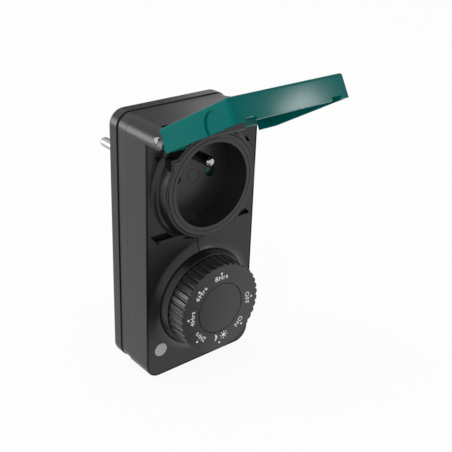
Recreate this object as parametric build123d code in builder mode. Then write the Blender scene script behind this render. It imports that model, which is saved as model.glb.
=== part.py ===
"""Plug-in countdown timer socket for outdoor use.

A wall plug on the back carries the whole unit. The front has an earthed socket
under a hinged splash lid, a seven-position programme knob and a light sensor.

Frame: millimetres, +Z up, the front faces -Y, +X is to the right seen from the
front. The origin is the centre of the bottom face. "Depth" is the distance
behind the front face, so it is negative for whatever stands out of the face.
"""

import os
from math import cos, radians, sin

from build123d import *

# ---------------------------------------------------------------- case
CASE_WIDTH = 59.6
CASE_HEIGHT = 121.6
CORNER_RADIUS = 7.0
WALL = 2.2
FRONT_SHELL_DEPTH = 14.4
MIDDLE_FRAME_DEPTH = 5.7
REAR_SHELL_DEPTH = 6.3
FRAME_INSET = 0.5
EDGE_ROUNDING = 0.3
SEAM_ROUNDING = 0.3
REAR_ROUNDING = 1.7
SEAL_THICKNESS = 0.6
SEAL_WIDTH = 1.5
SEAL_INSET = 0.15
BORDER_INSET = 0.4
BORDER_WIDTH = 0.5
BORDER_DEPTH = 0.35

# ---------------------------------------------------------------- fasteners
POST_REACH = 4.0
SCREW_RADIUS = 1.45
SCREW_HEAD_RADIUS = 2.8
SCREW_HEAD_HEIGHT = 1.8
SCREW_GRIP = 17.0
SMALL_SCREW_RADIUS = 1.0
SMALL_SCREW_HEAD_RADIUS = 2.0
SMALL_SCREW_HEAD_HEIGHT = 1.4

# ---------------------------------------------------------------- clearances
SLIDING_GAP = 0.3
FIT_GAP = 0.05
HINGE_GAP = 0.08
COLLAR_GAP = 0.15
CAP_GAP = 0.3

# ---------------------------------------------------------------- socket
SOCKET_DROP = 29.8
COLLAR_OUT = 6.4
COLLAR_RADIUS = 22.9
WELL_RADIUS = 19.1
WELL_DEPTH = 13.4
WELL_FLOOR_THICKNESS = 2.4
INSERT_FLANGE_RADIUS = 25.0
INSERT_FLANGE_THICKNESS = 2.0
COLLAR_LINE_RADIUS = 20.9
KEY_LEFT = -20.5
KEY_BOTTOM = 9.9
KEY_TOP = 14.8
KEY_CORNER = 0.5
KEY_BLEND = 2.0
PIN_SPACING = 19.0
PIN_RADIUS = 2.4
PIN_NECK_RADIUS = 2.2
PIN_NECK_OUT = 0.4
EARTH_RISE = 10.0
EARTH_PIN_OUT = 12.8
EARTH_COLLAR_RADIUS = 3.4
EARTH_COLLAR_THICKNESS = 1.0
EARTH_TAIL_RADIUS = 1.8
EARTH_NUT_THICKNESS = 1.6
ENTRY_RADIUS = 2.7
FLOOR_RING_RADIUS = 3.1

# ---------------------------------------------------------------- flares
SOCKET_FLARE_RUN = 2.4
SOCKET_FLARE_OUT = 2.0
SOCKET_FLARE_LIP = 1.8
RIM_WIDTH = 1.0
RIM_OUT = 6.2
RIM_ROUNDING = 0.4
KNOB_FLARE_RUN = 4.4
KNOB_FLARE_OUT = 1.7
KNOB_FLARE_LIP = 0.3

# ---------------------------------------------------------------- shutter and contacts
SHUTTER_THICKNESS = 1.6
SHUTTER_WIDTH = 6.6
SHUTTER_LENGTH = 23.0
SHUTTER_HUB_RADIUS = 4.2
PIVOT_RADIUS = 1.6
SHUTTER_SPRING_RADIUS = 3.0
CONTACT_BLOCK_RADIUS = 18.6
CONTACT_BLOCK_FLOOR = 2.0
CONTACT_BLOCK_RIM = 1.8
SHUTTER_SPACE = 3.0
SPINE_WIDTH = 11.8
SPINE_HEIGHT = 13.0
SPINE_LENGTH = 6.4
CONTACT_GAP = 4.9
CONTACT_METAL = 0.8
CONTACT_HEIGHT = 7.0
CONTACT_LENGTH = 8.4
BLADE_DROP = 4.4

# ---------------------------------------------------------------- plug
PLUG_RADIUS = 18.3
PLUG_WALL = 3.3
PLUG_ROUNDING = 2.5
PLUG_LENGTH = 18.5
PLUG_ROOT = 1.2
PLUG_CAP_THICKNESS = 3.0
PLUG_PIN_LENGTH = 19.0
PLUG_HEAD_RADIUS = 3.5
PLUG_HEAD_THICKNESS = 3.0
CLIP_GROOVE_WIDTH = 6.4
CLIP_GROOVE_DEPTH = 1.8
CLIP_WIDTH = 5.0
CLIP_METAL = 0.7
CLIP_BOW = 1.6
CLIP_ROOT_GAP = 2.0
CLIP_FACE_GAP = 0.4
CLIP_FOOT = 2.6
EARTH_TUBE_WALL = 0.9
STRAP_WIDTH = 6.0

# ---------------------------------------------------------------- lid
HINGE_OUT = 6.3
HINGE_DROP = 3.8
LID_OPEN_ANGLE = 120.5
LID_SIDE_INSET = 0.8
LID_DROP = 54.1
LID_FRONT = 3.7
LID_WALL = 2.0
LID_END_WALL = 1.2
LID_CORNER_RADIUS = 2.2
LID_HOLLOW_RADIUS = 1.2
LID_EDGE_ROUNDING = 1.0
LID_TOP_GAP = 3.6
LID_SWING_GAP = 0.35
LID_RIM_GAP = 0.15
HINGE_PIN_RADIUS = 1.4
HINGE_PIN_INSET = 0.45
HINGE_PIN_CHAMFER = 0.25
LUG_OUT = 10.6
LUG_HEIGHT = 7.1
LUG_CORNER = 2.0
BAY_STEP = 2.2
EAR_WIDTH = 5.8
CENTRE_LUG_HALF = 13.2
KNUCKLE_GAP = 0.4
KNUCKLE_WIDTH = 7.9
KNUCKLE_RADIUS = 3.4
LID_OPEN_BACK_HALF = 19.3
LID_NOTCH_WIDTH = 5.0
LID_NOTCH_DEPTH = 1.4
THUMB_RADIUS = 5.6
THUMB_DEPTH = 0.8
THUMB_DROP = 42.2
THUMB_OUT = 2.6
LID_SEAL_INNER = 19.4
LID_SEAL_OUTER = 21.4
LID_SEAL_THICKNESS = 1.4
LID_RIB = 0.8

# ---------------------------------------------------------------- latch slots
SLOT_INSET = 8.4
SLOT_LOWER_DROP = 50.8
SLOT_UPPER_DROP = 15.2
SLOT_LENGTH = 9.8
SLOT_HEIGHT = 3.5
SLOT_LEAN = 3.0
SLOT_DEPTH = 1.7
SLOT_UPPER_SHIFT = 2.0
DIMPLE_RADIUS = 0.7
DIMPLE_DEPTH = 0.6

# ---------------------------------------------------------------- knob
KNOB_HEIGHT = 35.0
BEZEL_RADIUS = 23.6
BEZEL_RIM_RADIUS = 22.3
BEZEL_OUT = 5.3
BEZEL_FLANGE_RADIUS = 25.5
BEZEL_FLANGE_THICKNESS = 1.8
BEZEL_RIM_WIDTH = 2.2
BEZEL_FLOOR_THICKNESS = 2.0
BEZEL_HUB_RADIUS = 6.2
BEZEL_HUB_DEPTH = 8.0
KNOB_RADIUS = 21.9
KNOB_FACE_OUT = 14.7
KNOB_WALL = 2.4
KNOB_FACE_THICKNESS = 2.2
KNOB_TAPER = 1.5
KNOB_RIBS = 40
RIB_GROOVE_RADIUS = 0.65
KNOB_HUB_RADIUS = 5.4
CAP_RADIUS = 12.0
CAP_THICKNESS = 1.2
CAP_DISH = 0.25
SHAFT_RADIUS = 3.0
SHAFT_FLAT = 2.2
SHAFT_FRONT = 12.4
O_RING_SECTION = 0.8

# ---------------------------------------------------------------- electronics
BOARD_SIDE_GAP = 2.6
BOARD_BOTTOM = 12.4
BOARD_HEIGHT = 50.4
BOARD_THICKNESS = 1.6
BOARD_DEPTH = 21.2
BOARD_SCREW_INSET = 4.4
STANDOFF_RADIUS = 2.6
SWITCH_SIZE = 21.0
SWITCH_LENGTH = 9.0
SWITCH_WALL = 1.4
ROTOR_RADIUS = 7.6
ROTOR_THICKNESS = 2.4
SPRING_HALF = 5.25
DETENT_TEETH = 8
SPRING_BUMP = 0.6
SENSOR_INSET = 7.8
SENSOR_HEIGHT = 13.6
WINDOW_RADIUS = 3.3
WINDOW_THICKNESS = 3.0
WINDOW_OUT = 0.1
WINDOW_ROUNDING = 0.25
SENSOR_RADIUS = 2.5
SENSOR_THICKNESS = 2.0
LEAD_RADIUS = 0.3
LEAD_SPREAD = 1.3
PART_CORNER = 0.4
SIDE_PARTS_INSET = 7.4
RELAY_TALL = 9.6
RELAY_GAP = 3.1

# ---------------------------------------------------------------- index mark
INDEX_X = -2.4
INDEX_WIDTH = 0.6
INDEX_DEPTH = 0.35
INDEX_CLEAR = 1.0

# ---------------------------------------------------------------- worked out from the sizes above
HALF_WIDTH = CASE_WIDTH / 2
SOCKET_HEIGHT = CASE_HEIGHT - SOCKET_DROP
CASE_DEPTH = FRONT_SHELL_DEPTH + MIDDLE_FRAME_DEPTH + REAR_SHELL_DEPTH + 2 * SEAL_THICKNESS
FRONT_Y = -CASE_DEPTH / 2
MIDDLE_START = FRONT_SHELL_DEPTH + SEAL_THICKNESS
MIDDLE_END = MIDDLE_START + MIDDLE_FRAME_DEPTH
REAR_START = MIDDLE_END + SEAL_THICKNESS
BACK_PLATE = CASE_DEPTH - WALL

WELL_FLOOR = WELL_DEPTH - COLLAR_OUT
FLOOR_BACK = WELL_FLOOR + WELL_FLOOR_THICKNESS
INSERT_BODY_RADIUS = WELL_RADIUS + WELL_FLOOR_THICKNESS
INSERT_OPENING = COLLAR_RADIUS + COLLAR_GAP
BEZEL_OPENING = BEZEL_RADIUS + COLLAR_GAP
BLOCK_FLOOR = FLOOR_BACK + SHUTTER_SPACE
BLOCK_BACK = BLOCK_FLOOR + CONTACT_BLOCK_FLOOR
BUS_FOOT_HALF = STRAP_WIDTH / 2
CONTACT_X = PIN_SPACING / 2
CONTACT_HOLES = [(-CONTACT_X, SOCKET_HEIGHT), (CONTACT_X, SOCKET_HEIGHT)]
CONTACT_START = BLOCK_BACK + SLIDING_GAP
CONTACT_OUTER = CONTACT_X + CONTACT_GAP / 2 + CONTACT_METAL
SHUTTER_FRONT = FLOOR_BACK + SLIDING_GAP
SHUTTER_BACK = SHUTTER_FRONT + SHUTTER_THICKNESS
EARTH_HEIGHT = SOCKET_HEIGHT + EARTH_RISE
EARTH_TAIL_END = BLOCK_BACK + CONTACT_METAL + EARTH_NUT_THICKNESS + SLIDING_GAP
BLOCK_SCREWS = [
    (side * CONTACT_X, SOCKET_HEIGHT - EARTH_RISE - SMALL_SCREW_HEAD_RADIUS) for side in (-1, 1)
]

PLUG_FACE = CASE_DEPTH + PLUG_LENGTH
PLUG_INNER_RADIUS = PLUG_RADIUS - PLUG_WALL
PLUG_CAP_FRONT = PLUG_FACE - PLUG_CAP_THICKNESS
PLUG_HEAD_FRONT = PLUG_CAP_FRONT - PLUG_HEAD_THICKNESS
LIVE_DROP = SOCKET_HEIGHT - 1.5 * STRAP_WIDTH
LIVE_INNER = CONTACT_X - BUS_FOOT_HALF
LIVE_OUTER = CONTACT_X + BUS_FOOT_HALF - CONTACT_METAL
EARTH_TUBE_RADIUS = PIN_RADIUS + FIT_GAP + EARTH_TUBE_WALL
EARTH_TUBE_BASE = PLUG_HEAD_FRONT - STRAP_WIDTH
STRAP_TOP = SOCKET_HEIGHT + PLUG_INNER_RADIUS - CONTACT_METAL

LUG_BOTTOM = CASE_HEIGHT - LUG_HEIGHT
EAR_INNER = HALF_WIDTH - EAR_WIDTH
KNUCKLE_START = CENTRE_LUG_HALF + KNUCKLE_GAP
KNUCKLE_END = KNUCKLE_START + KNUCKLE_WIDTH
HINGE_PIN_LENGTH = CASE_WIDTH - 2 * HINGE_PIN_INSET
HINGE_Y = FRONT_Y - HINGE_OUT
HINGE_Z = CASE_HEIGHT - HINGE_DROP
LID_WIDTH = CASE_WIDTH - 2 * LID_SIDE_INSET
LID_BOTTOM = CASE_HEIGHT - LID_DROP
THUMB_HEIGHT = CASE_HEIGHT - THUMB_DROP
SLOT_OFFSET = HALF_WIDTH - SLOT_INSET
SLOT_LOWER = CASE_HEIGHT - SLOT_LOWER_DROP
SLOT_UPPER = CASE_HEIGHT - SLOT_UPPER_DROP
LID_RIM = -HINGE_OUT + LID_RIM_GAP
LID_INNER_FACE = LID_FRONT - LID_WALL
LID_LOWER_EDGE = LID_BOTTOM - HINGE_Z
LID_TILT = radians(LID_OPEN_ANGLE)
LID_OUT = (0, -cos(LID_TILT), sin(LID_TILT))
LID_AXIS = Axis((0, HINGE_Y, HINGE_Z), LID_OUT)

BEZEL_FLOOR = -BEZEL_OUT + BEZEL_RIM_WIDTH
SEAL_SEAT_RADIUS = SHAFT_RADIUS + 2 * O_RING_SECTION
KNOB_FOOT_OUT = BEZEL_OUT + SLIDING_GAP
SENSOR_X = SENSOR_INSET - HALF_WIDTH
BOARD_WIDTH = CASE_WIDTH - 2 * (WALL + BOARD_SIDE_GAP)
BOARD_SIDE = BOARD_WIDTH / 2
BOARD_TOP = BOARD_BOTTOM + BOARD_HEIGHT
BOARD_BACK = BOARD_DEPTH + BOARD_THICKNESS
SIDE_PARTS_X = BOARD_SIDE - SIDE_PARTS_INSET
RELAY_HEIGHT = KNOB_HEIGHT + SWITCH_SIZE / 2 + RELAY_GAP + RELAY_TALL / 2
SWITCH_FRONT = BOARD_DEPTH - SWITCH_LENGTH
ROTOR_FRONT = SWITCH_FRONT + SWITCH_WALL + SLIDING_GAP
ROTOR_BACK = ROTOR_FRONT + ROTOR_THICKNESS
SPRING_LOW = KNOB_HEIGHT - SWITCH_SIZE / 2 + SWITCH_WALL
POST_X = CASE_WIDTH / 2 - CORNER_RADIUS
POSTS = [
    (side * POST_X, height)
    for side in (-1, 1)
    for height in (CORNER_RADIUS, CASE_HEIGHT - CORNER_RADIUS)
]
BOARD_SCREWS = [
    (side * (BOARD_SIDE - BOARD_SCREW_INSET), height)
    for side in (-1, 1)
    for height in (BOARD_BOTTOM + BOARD_SCREW_INSET, BOARD_TOP - BOARD_SCREW_INSET)
]


# ---------------------------------------------------------------- planes and outlines
def behind(depth):
    """Sketch plane facing the front, at a depth behind the front face."""
    return Plane.XZ.offset(-FRONT_Y - depth)


def half_section(height, across=0.0):
    """Plane for turned outlines, as (radius, depth) about a front-to-back line."""
    return Plane(origin=(across, FRONT_Y, height), x_dir=(0, 0, 1), z_dir=(-1, 0, 0))


def front_to_back(height, across=0.0):
    """Axis of a turned piece at this height."""
    return Axis((across, FRONT_Y, height), (0, 1, 0))


def side_view(across):
    """Sketch plane with (depth, height) coordinates, facing +X."""
    return Plane(origin=(across, FRONT_Y, 0), x_dir=(0, 1, 0), z_dir=(1, 0, 0))


def lid_plane(out):
    """Plane parallel to the open lid, out from the hinge line towards its outer face.

    Its coordinates are (x, rise), where rise is upwards when the lid is shut.
    """
    return Plane(origin=(0, HINGE_Y, HINGE_Z), x_dir=(1, 0, 0), z_dir=LID_OUT).offset(out)


def lid_section(across):
    """Plane across the open lid with (out, rise) coordinates, facing -X."""
    return Plane(origin=(across, HINGE_Y, HINGE_Z), x_dir=LID_OUT, z_dir=(-1, 0, 0))


def closed_outline(points, plane):
    """Face bounded by straight lines through the points."""
    with BuildSketch(plane) as sketch:
        with BuildLine():
            Polyline(*points, close=True)
        make_face()
    return sketch.sketch


def case_outline(depth, inset=0.0):
    """Rounded outline of the case, drawn in by an inset."""
    with BuildSketch(behind(depth)) as sketch:
        with Locations((0, CASE_HEIGHT / 2)):
            RectangleRounded(
                CASE_WIDTH - 2 * inset, CASE_HEIGHT - 2 * inset, CORNER_RADIUS - inset
            )
    return sketch.sketch


def discs(depth, radius, centres):
    """Equal circles at (x, height) centres."""
    with BuildSketch(behind(depth)) as sketch:
        with Locations(*centres):
            Circle(radius)
    return sketch.sketch


def panel(depth, x_low, x_high, z_low, z_high):
    """Rectangle between two x and two heights."""
    with BuildSketch(behind(depth)) as sketch:
        with Locations(((x_low + x_high) / 2, (z_low + z_high) / 2)):
            Rectangle(x_high - x_low, z_high - z_low)
    return sketch.sketch


def corner_posts(depth, inset):
    """Squares that join the screw holes to the case corners."""
    reach = POST_REACH + CORNER_RADIUS
    shift = (CORNER_RADIUS - POST_REACH) / 2
    with BuildSketch(behind(depth)) as sketch:
        for x, height in POSTS:
            outward = 1 if x > 0 else -1
            upward = 1 if height > CASE_HEIGHT / 2 else -1
            with Locations((x + outward * shift, height + upward * shift)):
                Rectangle(reach, reach)
        add(case_outline(depth, inset), mode=Mode.INTERSECT)
    return sketch.sketch


def flare(opening, lip_width, out, run):
    """Outline of a hollow-curved rim that rises from the front face to a lip."""
    lip = opening + lip_width
    foot = lip + run
    with BuildSketch(half_section(0)) as sketch:
        with BuildLine():
            Polyline((lip, -out), (opening, -out), (opening, WALL / 2))
            Line((opening, WALL / 2), (foot, WALL / 2))
            Line((foot, WALL / 2), (foot, 0))
            TangentArc((foot, 0), (lip, -out), tangent=(-1, 0))
        make_face()
    return sketch.sketch


def keyed_outline(depth, grow, blend):
    """Outline of the collar with its square key, grown by a margin and blended above the key."""
    with BuildSketch(behind(depth)) as sketch:
        with Locations((0, SOCKET_HEIGHT)):
            Circle(COLLAR_RADIUS + grow)
            with Locations(((KEY_LEFT - grow) / 2, (KEY_BOTTOM + KEY_TOP) / 2)):
                Rectangle(grow - KEY_LEFT, KEY_TOP - KEY_BOTTOM + 2 * grow)
        if blend:
            fillet(sketch.vertices().sort_by(Axis.X)[2], blend)
        fillet(sketch.vertices().sort_by(Axis.X)[:2].sort_by(Axis.Y)[-1], KEY_CORNER)
    return sketch.sketch


def export(builder, name):
    """Label a finished piece and write its STEP file."""
    builder.part.label = name
    export_step(builder.part, f"parts/{name}.step")


os.makedirs("parts", exist_ok=True)

# ================================================================ case
# Hinge lugs: two ears and a centre lug, with a low step left between them.
with BuildPart() as hinge_lugs:
    with BuildSketch(side_view(-CASE_WIDTH / 2)) as lug_profile:
        with BuildLine():
            Polyline(
                (WALL / 2, LUG_BOTTOM),
                (-LUG_OUT, LUG_BOTTOM),
                (-LUG_OUT, CASE_HEIGHT),
                (WALL / 2, CASE_HEIGHT),
                close=True,
            )
        make_face()
        fillet(lug_profile.vertices().group_by(Axis.X)[0].sort_by(Axis.Y)[0], LUG_CORNER)
        fillet(lug_profile.vertices().group_by(Axis.X)[0].sort_by(Axis.Y)[-1], HINGE_DROP)
    extrude(amount=CASE_WIDTH)
    extrude(case_outline(WALL), amount=WALL + LUG_OUT, mode=Mode.INTERSECT)
    for side in (-1, 1):
        bay = sorted((side * CENTRE_LUG_HALF, side * EAR_INNER))
        extrude(
            panel(-BAY_STEP, bay[0], bay[1], LUG_BOTTOM - WALL, CASE_HEIGHT + WALL),
            amount=LUG_OUT,
            mode=Mode.SUBTRACT,
        )

# One latch slot: a ramp that deepens towards a leaning parallelogram's lower edge.
with BuildPart() as latch_slot:
    extrude(
        closed_outline(
            [
                (-SLOT_LENGTH / 2 - SLOT_LEAN / 2, SLOT_HEIGHT / 2),
                (SLOT_LENGTH / 2 - SLOT_LEAN / 2, SLOT_HEIGHT / 2),
                (SLOT_LENGTH / 2 + SLOT_LEAN / 2, -SLOT_HEIGHT / 2),
                (-SLOT_LENGTH / 2 + SLOT_LEAN / 2, -SLOT_HEIGHT / 2),
            ],
            behind(SLOT_DEPTH),
        ),
        amount=SLOT_DEPTH * 2,
    )
    extrude(
        closed_outline(
            [
                (-SLOT_DEPTH, SLOT_HEIGHT),
                (0, SLOT_HEIGHT / 2),
                (SLOT_DEPTH, -SLOT_HEIGHT / 2),
                (-SLOT_DEPTH, -SLOT_HEIGHT / 2),
            ],
            side_view(-SLOT_LENGTH),
        ),
        amount=2 * SLOT_LENGTH,
        mode=Mode.INTERSECT,
    )

with BuildPart() as front_blank:
    extrude(case_outline(FRONT_SHELL_DEPTH), amount=FRONT_SHELL_DEPTH)
    fillet(front_blank.faces().sort_by(Axis.Y)[0].edges(), EDGE_ROUNDING)
    fillet(front_blank.faces().sort_by(Axis.Y)[-1].edges(), SEAM_ROUNDING)
    extrude(
        case_outline(FRONT_SHELL_DEPTH, WALL), amount=FRONT_SHELL_DEPTH - WALL, mode=Mode.SUBTRACT
    )
    extrude(corner_posts(FRONT_SHELL_DEPTH, WALL), amount=FRONT_SHELL_DEPTH - WALL)
    with BuildSketch(behind(BORDER_DEPTH)) as border_groove:
        add(case_outline(BORDER_DEPTH, BORDER_INSET))
        add(case_outline(BORDER_DEPTH, BORDER_INSET + BORDER_WIDTH), mode=Mode.SUBTRACT)
    extrude(amount=BORDER_DEPTH, mode=Mode.SUBTRACT)
    add(hinge_lugs.part)
    for x, height in (
        (-SLOT_OFFSET, SLOT_LOWER),
        (SLOT_OFFSET, SLOT_LOWER),
        (SLOT_UPPER_SHIFT - SLOT_OFFSET, SLOT_UPPER),
        (SLOT_OFFSET - SLOT_UPPER_SHIFT, SLOT_UPPER),
    ):
        add(Pos(x, 0, height) * latch_slot.part, mode=Mode.SUBTRACT)
    dimple_height = SLOT_LOWER - SLOT_HEIGHT / 2 - DIMPLE_RADIUS
    extrude(
        discs(
            DIMPLE_DEPTH,
            DIMPLE_RADIUS,
            [(side * SLOT_OFFSET - SLOT_LENGTH / 4, dimple_height) for side in (-1, 1)],
        ),
        amount=DIMPLE_DEPTH,
        mode=Mode.SUBTRACT,
    )
    for opening, lip_width, out, run, height in (
        (INSERT_OPENING, SOCKET_FLARE_LIP, SOCKET_FLARE_OUT, SOCKET_FLARE_RUN, SOCKET_HEIGHT),
        (BEZEL_OPENING, KNOB_FLARE_LIP, KNOB_FLARE_OUT, KNOB_FLARE_RUN, KNOB_HEIGHT),
    ):
        revolve(
            Pos(0, 0, height) * flare(opening, lip_width, out, run), axis=front_to_back(height)
        )
    # Rim round the socket's collar and its key, with a drafted wall.
    with BuildSketch(half_section(SOCKET_HEIGHT)) as rim_profile:
        with BuildLine():
            Polyline(
                (COLLAR_RADIUS, -SOCKET_FLARE_OUT),
                (INSERT_OPENING + SOCKET_FLARE_LIP, -SOCKET_FLARE_OUT),
                (INSERT_OPENING + RIM_WIDTH, -RIM_OUT),
                (COLLAR_RADIUS, -RIM_OUT),
                close=True,
            )
        make_face()
        fillet(rim_profile.vertices().sort_by(Axis.Y)[:2].sort_by(Axis.X)[-1], RIM_ROUNDING)
    revolve(axis=front_to_back(SOCKET_HEIGHT))
    extrude(
        keyed_outline(-SOCKET_FLARE_OUT, COLLAR_GAP + RIM_WIDTH, KEY_BLEND),
        amount=RIM_OUT - SOCKET_FLARE_OUT - RIM_ROUNDING,
    )
    extrude(
        keyed_outline(
            RIM_ROUNDING - RIM_OUT, COLLAR_GAP + RIM_WIDTH - RIM_ROUNDING / 2, KEY_BLEND
        ),
        amount=RIM_ROUNDING,
    )
    for opening, height in ((INSERT_OPENING, SOCKET_HEIGHT), (BEZEL_OPENING, KNOB_HEIGHT)):
        extrude(
            discs(WALL, opening, [(0, height)]), amount=WALL + LUG_OUT, mode=Mode.SUBTRACT
        )
    extrude(
        panel(
            -SOCKET_FLARE_OUT,
            KEY_LEFT - COLLAR_GAP,
            0,
            SOCKET_HEIGHT + KEY_BOTTOM,
            SOCKET_HEIGHT + KEY_TOP + COLLAR_GAP,
        ),
        amount=LUG_OUT,
        mode=Mode.SUBTRACT,
    )
    # Landing across the socket's flare and rim for the end wall of the lid.
    extrude(
        panel(
            0,
            -INSERT_OPENING,
            INSERT_OPENING,
            LID_BOTTOM - SLIDING_GAP,
            LID_BOTTOM + LID_END_WALL + SLIDING_GAP,
        ),
        amount=LUG_OUT,
        mode=Mode.SUBTRACT,
    )
    extrude(
        discs(
            WINDOW_THICKNESS + SENSOR_THICKNESS,
            WINDOW_RADIUS + FIT_GAP,
            [(SENSOR_X, SENSOR_HEIGHT)],
        ),
        amount=WINDOW_THICKNESS + SENSOR_THICKNESS + WALL,
        mode=Mode.SUBTRACT,
    )
    extrude(
        discs(FRONT_SHELL_DEPTH, SCREW_RADIUS + FIT_GAP, POSTS),
        amount=FRONT_SHELL_DEPTH - WALL,
        mode=Mode.SUBTRACT,
    )
    with BuildSketch(side_view(-CASE_WIDTH)) as hinge_bore:
        with Locations((-HINGE_OUT, HINGE_Z)):
            Circle(HINGE_PIN_RADIUS + FIT_GAP)
    extrude(amount=2 * CASE_WIDTH, mode=Mode.SUBTRACT)

# Index line above the knob, cut to one depth over the curved flare.
with BuildPart() as index_groove:
    extrude(
        panel(
            INDEX_DEPTH,
            INDEX_X - INDEX_WIDTH / 2,
            INDEX_X + INDEX_WIDTH / 2,
            KNOB_HEIGHT + BEZEL_OPENING - SLIDING_GAP,
            SOCKET_HEIGHT - INSERT_OPENING - SOCKET_FLARE_LIP - INDEX_CLEAR,
        ),
        amount=INDEX_DEPTH + KNOB_FLARE_OUT,
    )
    add(Pos(0, INDEX_DEPTH, 0) * front_blank.part, mode=Mode.SUBTRACT)

with BuildPart() as front_shell:
    add(front_blank.part)
    add(index_groove.part, mode=Mode.SUBTRACT)
export(front_shell, "front_shell")

with BuildPart() as middle_frame:
    extrude(case_outline(MIDDLE_END, FRAME_INSET), amount=MIDDLE_FRAME_DEPTH)
    extrude(case_outline(MIDDLE_END, WALL), amount=MIDDLE_FRAME_DEPTH, mode=Mode.SUBTRACT)
    extrude(corner_posts(MIDDLE_END, FRAME_INSET), amount=MIDDLE_FRAME_DEPTH)
    extrude(
        discs(MIDDLE_END, SCREW_RADIUS + FIT_GAP, POSTS),
        amount=MIDDLE_FRAME_DEPTH,
        mode=Mode.SUBTRACT,
    )
export(middle_frame, "middle_frame")

for name, depth in (("front_case_seal", MIDDLE_START), ("rear_case_seal", REAR_START)):
    inset = SEAL_INSET + FRAME_INSET
    with BuildPart() as case_seal:
        with BuildSketch(behind(depth)) as seal_loop:
            add(case_outline(depth, inset))
            add(case_outline(depth, inset + SEAL_WIDTH), mode=Mode.SUBTRACT)
        extrude(amount=SEAL_THICKNESS)
    export(case_seal, name)

with BuildPart() as rear_shell:
    extrude(case_outline(CASE_DEPTH), amount=REAR_SHELL_DEPTH)
    fillet(rear_shell.faces().sort_by(Axis.Y)[0].edges(), SEAM_ROUNDING)
    fillet(rear_shell.faces().sort_by(Axis.Y)[-1].edges(), REAR_ROUNDING)
    extrude(
        case_outline(BACK_PLATE, WALL), amount=REAR_SHELL_DEPTH - WALL, mode=Mode.SUBTRACT
    )
    extrude(corner_posts(BACK_PLATE, WALL), amount=REAR_SHELL_DEPTH - WALL)
    extrude(
        discs(BACK_PLATE, STANDOFF_RADIUS, BOARD_SCREWS), amount=BACK_PLATE - BOARD_BACK
    )
    extrude(
        discs(BACK_PLATE, SMALL_SCREW_RADIUS + FIT_GAP, BOARD_SCREWS),
        amount=BACK_PLATE - BOARD_BACK,
        mode=Mode.SUBTRACT,
    )
    revolve(
        closed_outline(
            [
                (PLUG_INNER_RADIUS, BACK_PLATE),
                (PLUG_RADIUS + PLUG_ROOT, BACK_PLATE),
                (PLUG_RADIUS + PLUG_ROOT, CASE_DEPTH),
                (PLUG_RADIUS, CASE_DEPTH + PLUG_ROOT),
                (PLUG_RADIUS, PLUG_FACE),
                (PLUG_INNER_RADIUS, PLUG_FACE),
            ],
            half_section(SOCKET_HEIGHT),
        ),
        axis=front_to_back(SOCKET_HEIGHT),
    )
    fillet(rear_shell.faces().sort_by(Axis.Y)[-1].outer_wire().edges(), PLUG_ROUNDING)
    extrude(
        discs(PLUG_FACE, PLUG_INNER_RADIUS, [(0, SOCKET_HEIGHT)]),
        amount=PLUG_LENGTH + WALL,
        mode=Mode.SUBTRACT,
    )
    for side in (-1, 1):
        groove_floor = SOCKET_HEIGHT + side * (PLUG_RADIUS - CLIP_GROOVE_DEPTH)
        groove_mouth = SOCKET_HEIGHT + side * (PLUG_RADIUS + CLIP_GROOVE_DEPTH)
        low, high = sorted((groove_floor, groove_mouth))
        extrude(
            panel(PLUG_FACE, -CLIP_GROOVE_WIDTH / 2, CLIP_GROOVE_WIDTH / 2, low, high),
            amount=PLUG_LENGTH - PLUG_ROOT,
            mode=Mode.SUBTRACT,
        )
    extrude(
        discs(CASE_DEPTH, SCREW_RADIUS + FIT_GAP, POSTS),
        amount=REAR_SHELL_DEPTH,
        mode=Mode.SUBTRACT,
    )
    extrude(
        discs(CASE_DEPTH, SCREW_HEAD_RADIUS + SLIDING_GAP, POSTS),
        amount=WALL,
        mode=Mode.SUBTRACT,
    )
export(rear_shell, "rear_shell")

with BuildPart() as case_screws:
    extrude(discs(BACK_PLATE, SCREW_RADIUS, POSTS), amount=SCREW_GRIP)
    extrude(
        discs(BACK_PLATE + SCREW_HEAD_HEIGHT, SCREW_HEAD_RADIUS, POSTS), amount=SCREW_HEAD_HEIGHT
    )
    for x, height in POSTS:
        extrude(
            panel(
                BACK_PLATE + SCREW_HEAD_HEIGHT,
                x - SCREW_RADIUS,
                x + SCREW_RADIUS,
                height - SLIDING_GAP,
                height + SLIDING_GAP,
            ),
            amount=SCREW_HEAD_HEIGHT / 2,
            mode=Mode.SUBTRACT,
        )
        extrude(
            panel(
                BACK_PLATE + SCREW_HEAD_HEIGHT,
                x - SLIDING_GAP,
                x + SLIDING_GAP,
                height - SCREW_RADIUS,
                height + SCREW_RADIUS,
            ),
            amount=SCREW_HEAD_HEIGHT / 2,
            mode=Mode.SUBTRACT,
        )
export(case_screws, "case_screws")

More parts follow.
